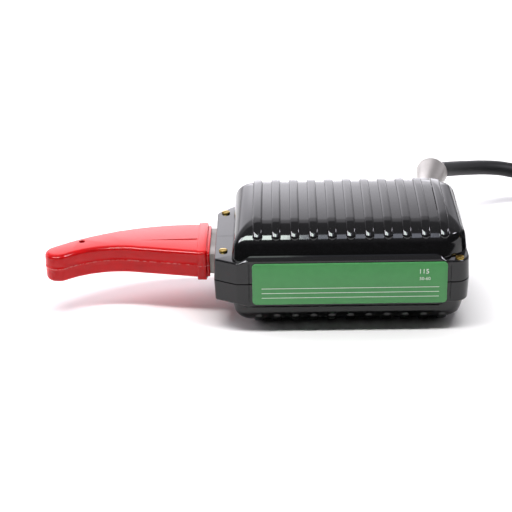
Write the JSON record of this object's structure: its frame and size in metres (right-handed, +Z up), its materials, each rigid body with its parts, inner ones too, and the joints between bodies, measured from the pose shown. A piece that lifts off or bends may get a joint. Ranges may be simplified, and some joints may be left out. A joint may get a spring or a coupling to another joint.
{
  "type": "tape head demagnetizer",
  "caption": "Hand-held mains demagnetizer: ribbed two-part black case around a coil on a steel core, red claw-shaped probe cap, metal bell-mouth cord guard and coiled mains cord.",
  "frame": {"origin": "on the table under the middle rib, where the case rests on its lower ribs", "axes": "+Z up, -X along the probe, -Y towards the label panel"},
  "size_m": [0.3975, 0.1655, 0.0568],
  "materials": {
    "case_black": "glossy black thermoset moulding",
    "label_green": "satin green paint on a thin plate",
    "screw_brass": "turned brass",
    "core_steel": "cut sheet steel",
    "former_fibre": "pressed board",
    "winding_copper": "enamelled copper wire",
    "wrap_film": "varnished cloth tape",
    "pad_rubber": "black rubber",
    "cap_red": "satin red vinyl",
    "guard_metal": "turned, satin",
    "nut_steel": "plated steel",
    "cord_black": "satin black jacket",
    "wire_insulation": "insulated conductor",
    "splice_blue": "butt splice sleeve",
    "lead_red": "sleeved lead",
    "strap_black": "woven strap",
    "plug_black": "moulded vinyl",
    "blade_brass": "stamped brass"
  },
  "bodies": {
    "case": {"upper_shell": "case_black", "lower_shell": "case_black", "label_plate": "label_green", "case_screws": "screw_brass", "case_nuts": "screw_brass", "core_laminations": "core_steel", "core_rivets": "core_steel", "coil_bobbin": "former_fibre", "coil_winding": "winding_copper", "winding_wrap": "wrap_film", "coil_pads": "pad_rubber", "cord_guard": "guard_metal", "guard_washer": "pad_rubber", "guard_nut": "nut_steel", "cord_grommet": "pad_rubber", "cord_stub": "cord_black", "cord_crimp": "nut_steel", "cord_wires": "wire_insulation", "wire_splices": "splice_blue", "coil_leads": "lead_red", "power_cord": "cord_black", "cord_coil": "cord_black", "coil_tie": "strap_black", "plug_body": "plug_black", "plug_blades": "blade_brass"},
    "cap": {"probe_cap": "cap_red"}
  },
  "joints": [
    {"name": "cap_pull", "type": "slide", "parent": "case", "child": "cap", "axis": [-1, 0, 0], "range_m": [0, 0.075]}
  ]
}
